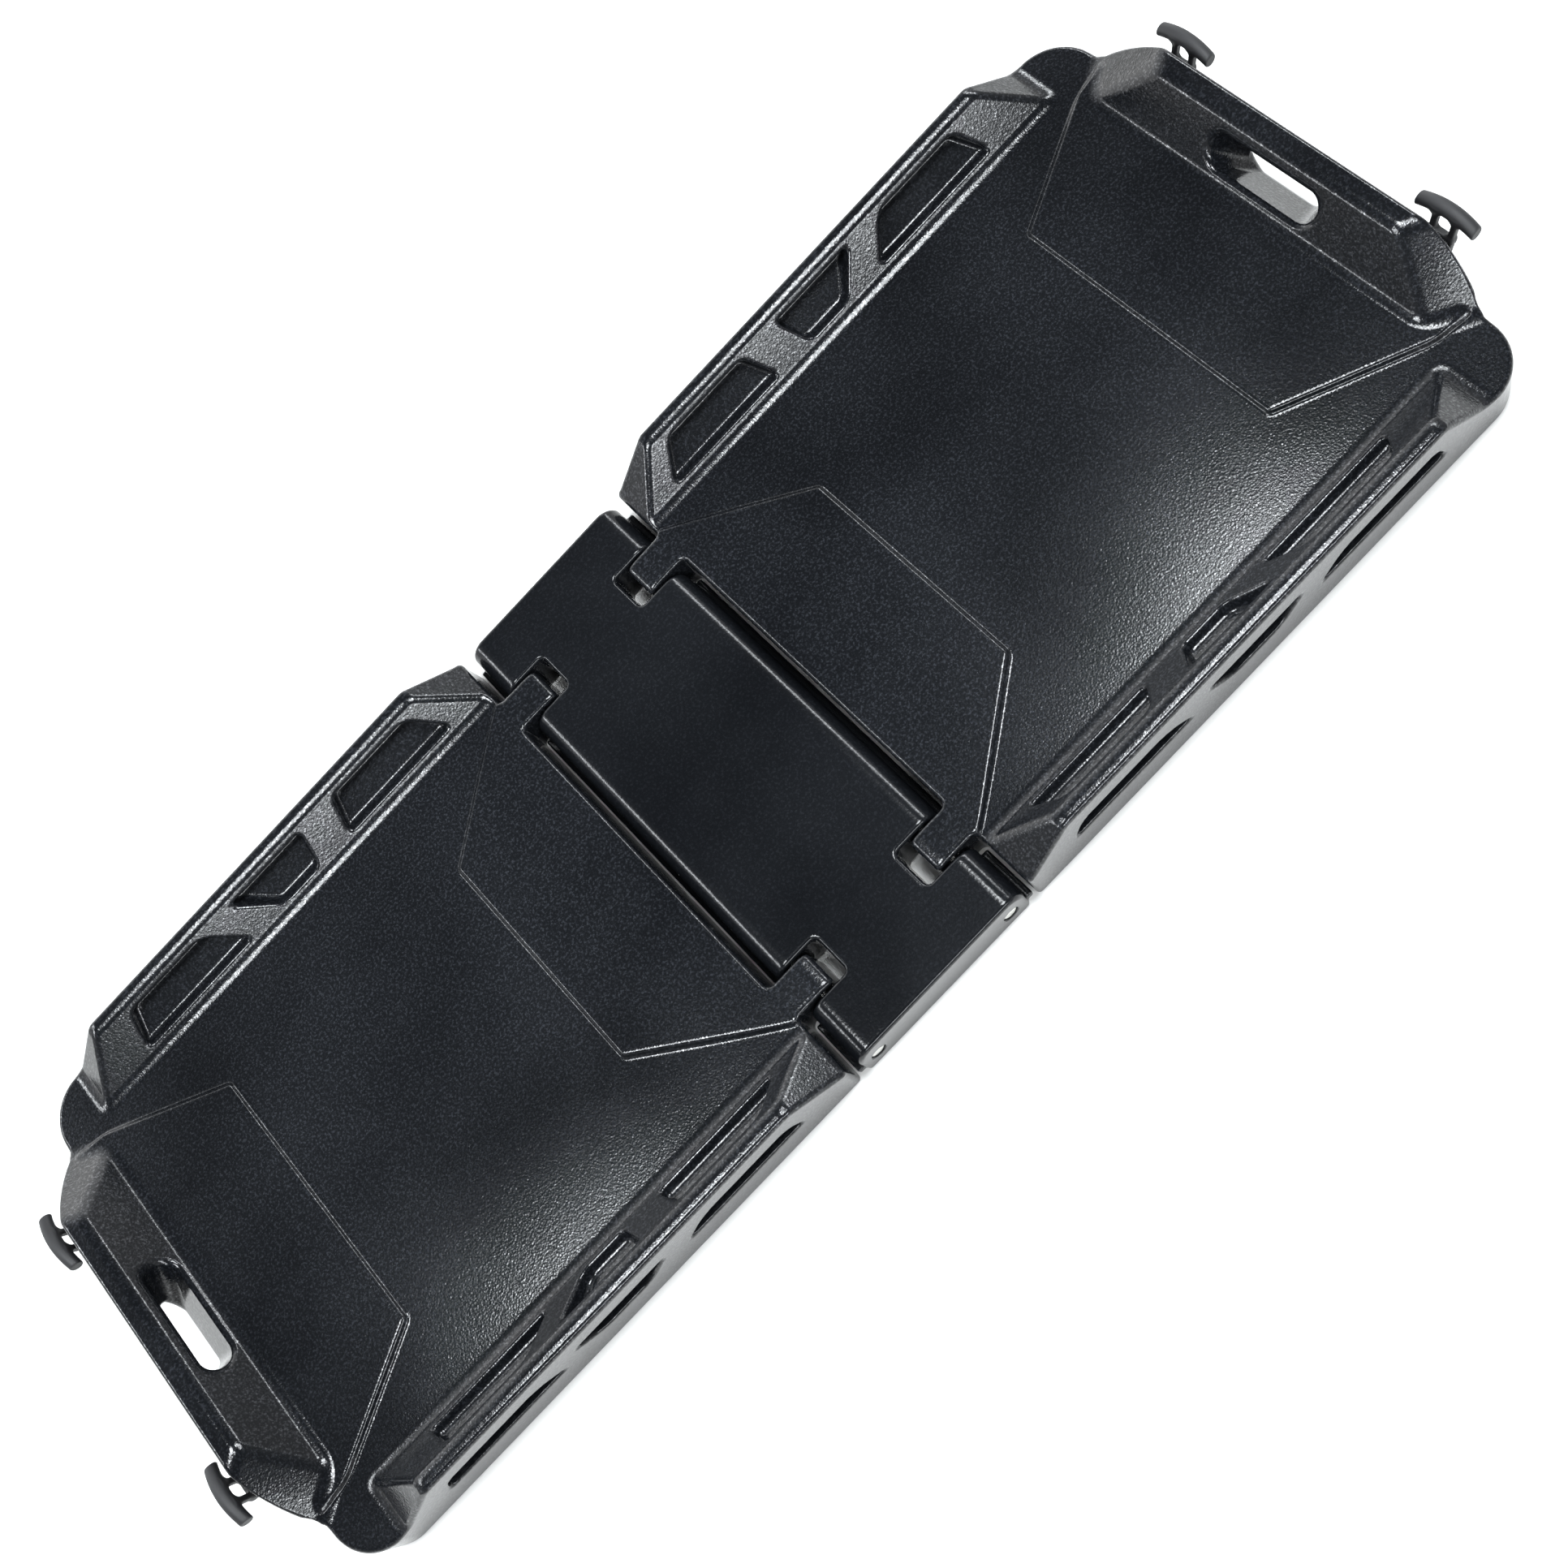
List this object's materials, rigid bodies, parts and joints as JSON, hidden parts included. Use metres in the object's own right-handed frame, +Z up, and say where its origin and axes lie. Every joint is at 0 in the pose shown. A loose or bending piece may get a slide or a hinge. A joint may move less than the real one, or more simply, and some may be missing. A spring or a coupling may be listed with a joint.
{
  "type": "folding tyre traction board",
  "caption": "Folding traction board for a stuck wheel: two ribbed moulded panels hinged to a centre spine, each with a hand hole and rubber T-handle latches.",
  "frame": {"origin": "bottom centre of the opened-out board, on the ground plane, midway between the two hinge axes", "axes": "+X along the board from the spine towards panel A, +Y across the board, +Z up; the flat rest pose is fully opened out"},
  "size_m": [1.37, 0.5, 0.092],
  "materials": {
    "board_plastic": "near-black moulded plastic with a fine pebbled grain",
    "tread_plastic": "black moulded plastic, plain",
    "latch_rubber": "smooth matt black rubber",
    "steel": "bright zinc-plated steel",
    "dark_steel": "black coated steel"
  },
  "bodies": {
    "spine": {"spine_body": "board_plastic", "spine_base_cover": "tread_plastic", "cover_screw_1": "dark_steel", "cover_screw_2": "dark_steel", "cover_screw_3": "dark_steel", "cover_screw_4": "dark_steel", "hinge_rod_a": "steel", "rod_cap_a_far": "steel", "rod_cap_a_near": "steel", "hinge_rod_b": "steel", "rod_cap_b_far": "steel", "rod_cap_b_near": "steel"},
    "panel_a": {"panel_a_shell": "board_plastic", "panel_a_tread": "tread_plastic", "panel_a_tread_screw_1": "dark_steel", "panel_a_tread_screw_2": "dark_steel", "panel_a_tread_screw_3": "dark_steel", "panel_a_tread_screw_4": "dark_steel", "latch_bracket_a1": "dark_steel", "latch_screw_a1p": "dark_steel", "latch_screw_a1q": "dark_steel", "latch_pin_a1": "steel", "latch_bracket_a2": "dark_steel", "latch_screw_a2p": "dark_steel", "latch_screw_a2q": "dark_steel", "latch_pin_a2": "steel"},
    "latch_a1": {"latch_strap_a1": "latch_rubber"},
    "latch_a2": {"latch_strap_a2": "latch_rubber"},
    "panel_b": {"panel_b_shell": "board_plastic", "panel_b_tread": "tread_plastic", "panel_b_tread_screw_1": "dark_steel", "panel_b_tread_screw_2": "dark_steel", "panel_b_tread_screw_3": "dark_steel", "panel_b_tread_screw_4": "dark_steel", "latch_bracket_b1": "dark_steel", "latch_screw_b1p": "dark_steel", "latch_screw_b1q": "dark_steel", "latch_pin_b1": "steel", "latch_bracket_b2": "dark_steel", "latch_screw_b2p": "dark_steel", "latch_screw_b2q": "dark_steel", "latch_pin_b2": "steel"},
    "latch_b1": {"latch_strap_b1": "latch_rubber"},
    "latch_b2": {"latch_strap_b2": "latch_rubber"}
  },
  "joints": [
    {"name": "panel_a_fold", "type": "hinge", "parent": "spine", "child": "panel_a", "pos_m": [0.073, 0, 0.02], "axis": [0, -1, 0], "range_deg": [0, 90]},
    {"name": "panel_b_fold", "type": "hinge", "parent": "spine", "child": "panel_b", "pos_m": [-0.073, 0, 0.02], "axis": [0, 1, 0], "range_deg": [0, 90]},
    {"name": "latch_a1_swing", "type": "hinge", "parent": "panel_a", "child": "latch_a1", "pos_m": [0.662, 0.132, 0.022], "axis": [0, 1, 0], "range_deg": [-16, 82]},
    {"name": "latch_a2_swing", "type": "hinge", "parent": "panel_a", "child": "latch_a2", "pos_m": [0.662, -0.132, 0.022], "axis": [0, 1, 0], "range_deg": [-16, 82]},
    {"name": "latch_b1_swing", "type": "hinge", "parent": "panel_b", "child": "latch_b1", "pos_m": [-0.662, -0.132, 0.022], "axis": [0, -1, 0], "range_deg": [-16, 82]},
    {"name": "latch_b2_swing", "type": "hinge", "parent": "panel_b", "child": "latch_b2", "pos_m": [-0.662, 0.132, 0.022], "axis": [0, -1, 0], "range_deg": [-16, 82]}
  ]
}
